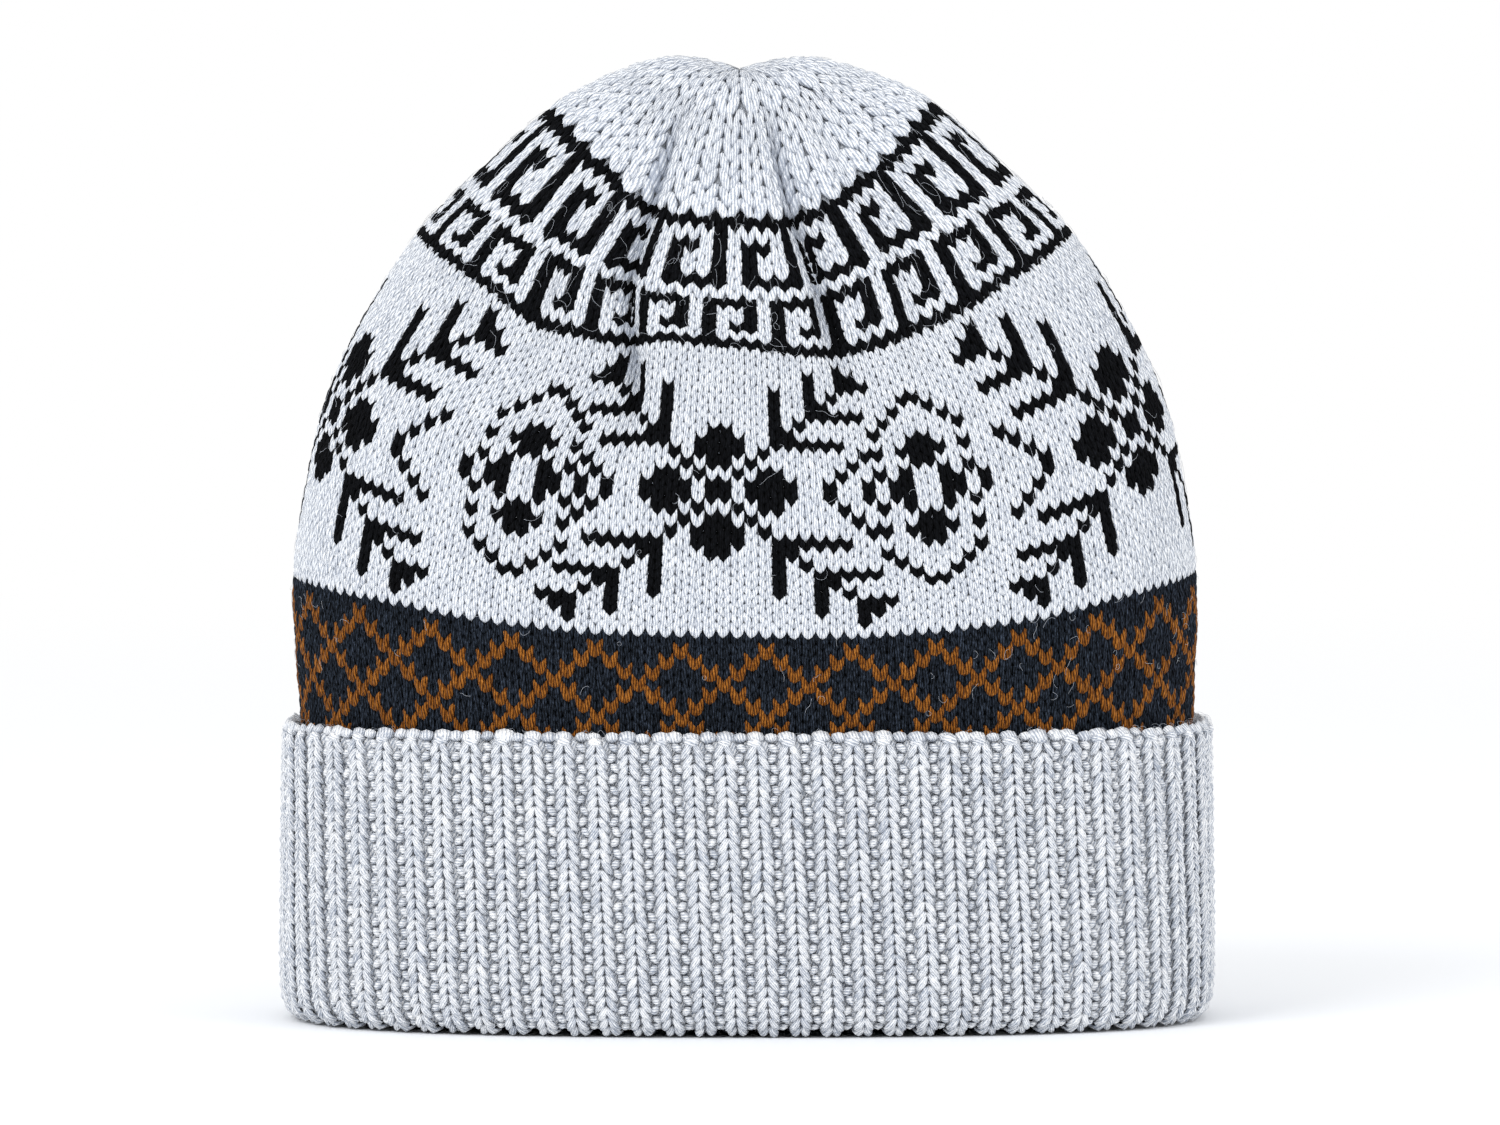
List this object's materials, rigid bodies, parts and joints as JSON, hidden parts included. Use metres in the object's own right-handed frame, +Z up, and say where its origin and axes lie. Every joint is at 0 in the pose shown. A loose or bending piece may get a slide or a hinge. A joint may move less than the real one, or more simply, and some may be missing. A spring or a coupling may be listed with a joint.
{
  "type": "knitted beanie",
  "caption": "Patterned knitted beanie with a turned-up ribbed cuff, standing open on its cuff as a flattened oval.",
  "frame": {"origin": "middle of the cuff's fold, on the surface that the hat stands on", "axes": "+Z up through the gather of the crown; -Y is the front; +X is to the wearer's left"},
  "size_m": [0.2264, 0.1324, 0.232],
  "materials": {
    "white_yarn": "soft off-white wool knitted plain",
    "cuff_yarn": "pale grey marled wool knitted in ribs",
    "black_yarn": "black wool knitted plain",
    "charcoal_yarn": "charcoal marled wool knitted plain",
    "rust_yarn": "rust-brown wool knitted plain"
  },
  "bodies": {
    "root": {"cuff": "cuff_yarn", "lattice_band": "charcoal_yarn", "motif_band": "white_yarn", "key_band": "white_yarn", "crown_cap": "white_yarn"}
  },
  "joints": []
}
